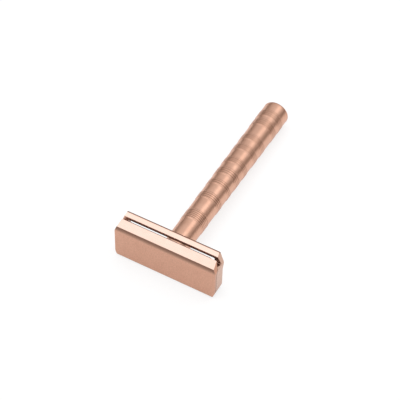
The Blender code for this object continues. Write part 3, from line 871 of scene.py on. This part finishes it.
def build_floor():
    bm = bmesh.new()
    bmesh.ops.create_grid(bm, x_segments=8, y_segments=8, size=FLOOR_SIZE)
    me = bpy.data.meshes.new("floor")
    bm.to_mesh(me)
    bm.free()
    ob = bpy.data.objects.new("floor", me)
    ob.location = (0, 0, -0.00002)
    bpy.context.scene.collection.objects.link(ob)
    mat = bpy.data.materials.new("pale_floor")
    mat.use_nodes = True
    nt = mat.node_tree
    p = nt.nodes["Principled BSDF"]
    p.inputs["Base Color"].default_value = (0.88, 0.88, 0.88, 1)
    p.inputs["Roughness"].default_value = 0.9
    p.inputs["Specular IOR Level"].default_value = 0.1
    # shown a little brighter than it lights the object, as a well exposed white sweep is
    glow = nt.nodes.new("ShaderNodeEmission")
    glow.inputs["Color"].default_value = (1.0, 1.0, 1.0, 1)
    glow.inputs["Strength"].default_value = FLOOR_GLOW
    path = nt.nodes.new("ShaderNodeLightPath")
    share = nt.nodes.new("ShaderNodeMath")
    share.operation = 'MULTIPLY_ADD'
    share.inputs[1].default_value = FLOOR_GLOW_SHARE - FLOOR_GLOW_REST
    share.inputs[2].default_value = FLOOR_GLOW_REST
    nt.links.new(path.outputs["Is Camera Ray"], share.inputs[0])
    mixer = nt.nodes.new("ShaderNodeMixShader")
    nt.links.new(share.outputs[0], mixer.inputs[0])
    nt.links.new(p.outputs[0], mixer.inputs[1])
    nt.links.new(glow.outputs[0], mixer.inputs[2])
    nt.links.new(mixer.outputs[0], nt.nodes["Material Output"].inputs[0])
    me.materials.append(mat)


def area(name, direction, distance, size, radiance, colour=(1, 1, 1)):
    """A rectangular area light on a direction from the object, facing it."""
    d = Vector(direction).normalized()
    data = bpy.data.lights.new(name, 'AREA')
    data.shape = 'RECTANGLE'
    data.size, data.size_y = size
    data.energy = radiance * math.pi * size[0] * size[1]
    data.color = colour
    ob = bpy.data.objects.new(name, data)
    bpy.context.scene.collection.objects.link(ob)
    ob.location = d * distance
    ob.rotation_euler = (-d).to_track_quat('-Z', 'Y').to_euler()
    return ob


def build_world():
    """Soft studio surroundings: light from above, dim near the horizon and in front."""
    w = bpy.data.worlds.new("studio")
    bpy.context.scene.world = w
    w.use_nodes = True
    nt = w.node_tree
    nt.nodes.clear()

    def maths(op, a, b):
        n = nt.nodes.new("ShaderNodeMath")
        n.operation = op
        for k, v in enumerate((a, b)):
            if isinstance(v, float):
                n.inputs[k].default_value = v
            else:
                nt.links.new(v, n.inputs[k])
        return n.outputs[0]

    out = nt.nodes.new("ShaderNodeOutputWorld")
    bg = nt.nodes.new("ShaderNodeBackground")
    tc = nt.nodes.new("ShaderNodeTexCoord")
    sep = nt.nodes.new("ShaderNodeSeparateXYZ")
    ramp = nt.nodes.new("ShaderNodeValToRGB")
    nt.links.new(tc.outputs["Generated"], sep.inputs[0])
    front = maths('MAXIMUM', maths('MULTIPLY', sep.outputs["Y"], -FRONT_DIM), 0.0)
    nt.links.new(maths('SUBTRACT', sep.outputs["Z"], front), ramp.inputs[0])
    el = ramp.color_ramp.elements
    el[0].position, el[0].color = SKY[0][0], (*SKY[0][1], 1)
    el[1].position, el[1].color = SKY[-1][0], (*SKY[-1][1], 1)
    for pos, v in SKY[1:-1]:
        e = el.new(pos)
        e.color = (*v, 1)
    # what the camera sees past the floor's end is the floor's own white
    path = nt.nodes.new("ShaderNodeLightPath")
    seen = nt.nodes.new("ShaderNodeMix")
    seen.data_type = 'RGBA'
    sockets = [i for i in seen.inputs if i.type == 'RGBA']
    nt.links.new(path.outputs["Is Camera Ray"], seen.inputs[0])
    nt.links.new(ramp.outputs[0], sockets[0])
    sockets[1].default_value = (0.98, 0.98, 0.98, 1)
    nt.links.new([o for o in seen.outputs if o.type == 'RGBA'][0], bg.inputs[0])
    bg.inputs[1].default_value = 1.0
    nt.links.new(bg.outputs[0], out.inputs[0])


FRONT_DIM = 0.45
SKY = (
    (0.0, (0.16, 0.125, 0.105)),
    (0.20, (0.19, 0.155, 0.135)),
    (0.42, (0.56, 0.54, 0.53)),
    (0.62, (0.73, 0.73, 0.74)),
    (0.80, (0.87, 0.88, 0.90)),
    (1.0, (0.92, 0.94, 0.97)),
)
build_floor()
build_world()
area("overhead", (-0.30, -0.28, 0.91), 0.9, (0.7, 0.7), radiance=0.55)
area("back_right", (0.32, 0.57, 0.76), 1.0, (0.45, 0.45), radiance=0.85)
fill = area("floor_fill", (0.0, -0.1, 1.0), 1.3, (1.2, 1.2), radiance=0.9)
fill.visible_glossy = False

# camera: fitted to the outline of head and handle
AZ, EL, ROLL = math.radians(28.55), math.radians(49.73), math.radians(0.87)
DISTANCE = 0.52863
LENS = 1300.0 / 400.0 * 36.0
TARGET = ORIGIN + Vector((-0.00335, 0.0348, 0.0))
back = Vector((math.sin(AZ) * math.cos(EL), -math.cos(AZ) * math.cos(EL), math.sin(EL)))
right = Vector((math.cos(AZ), math.sin(AZ), 0.0))
up = back.cross(right)
cam_x = math.cos(ROLL) * right + math.sin(ROLL) * up
cam_y = -math.sin(ROLL) * right + math.cos(ROLL) * up
cam_data = bpy.data.cameras.new("camera")
cam_data.lens = LENS
cam_data.sensor_width = 36.0
cam_data.clip_start = 0.01
cam_data.clip_end = 20.0
cam = bpy.data.objects.new("camera", cam_data)
bpy.context.scene.collection.objects.link(cam)
pos = TARGET + back * DISTANCE
cam.matrix_world = Matrix((
    (cam_x.x, cam_y.x, back.x, pos.x),
    (cam_x.y, cam_y.y, back.y, pos.y),
    (cam_x.z, cam_y.z, back.z, pos.z),
    (0, 0, 0, 1)))
bpy.context.scene.camera = cam
bpy.context.scene.view_settings.view_transform = 'Standard'
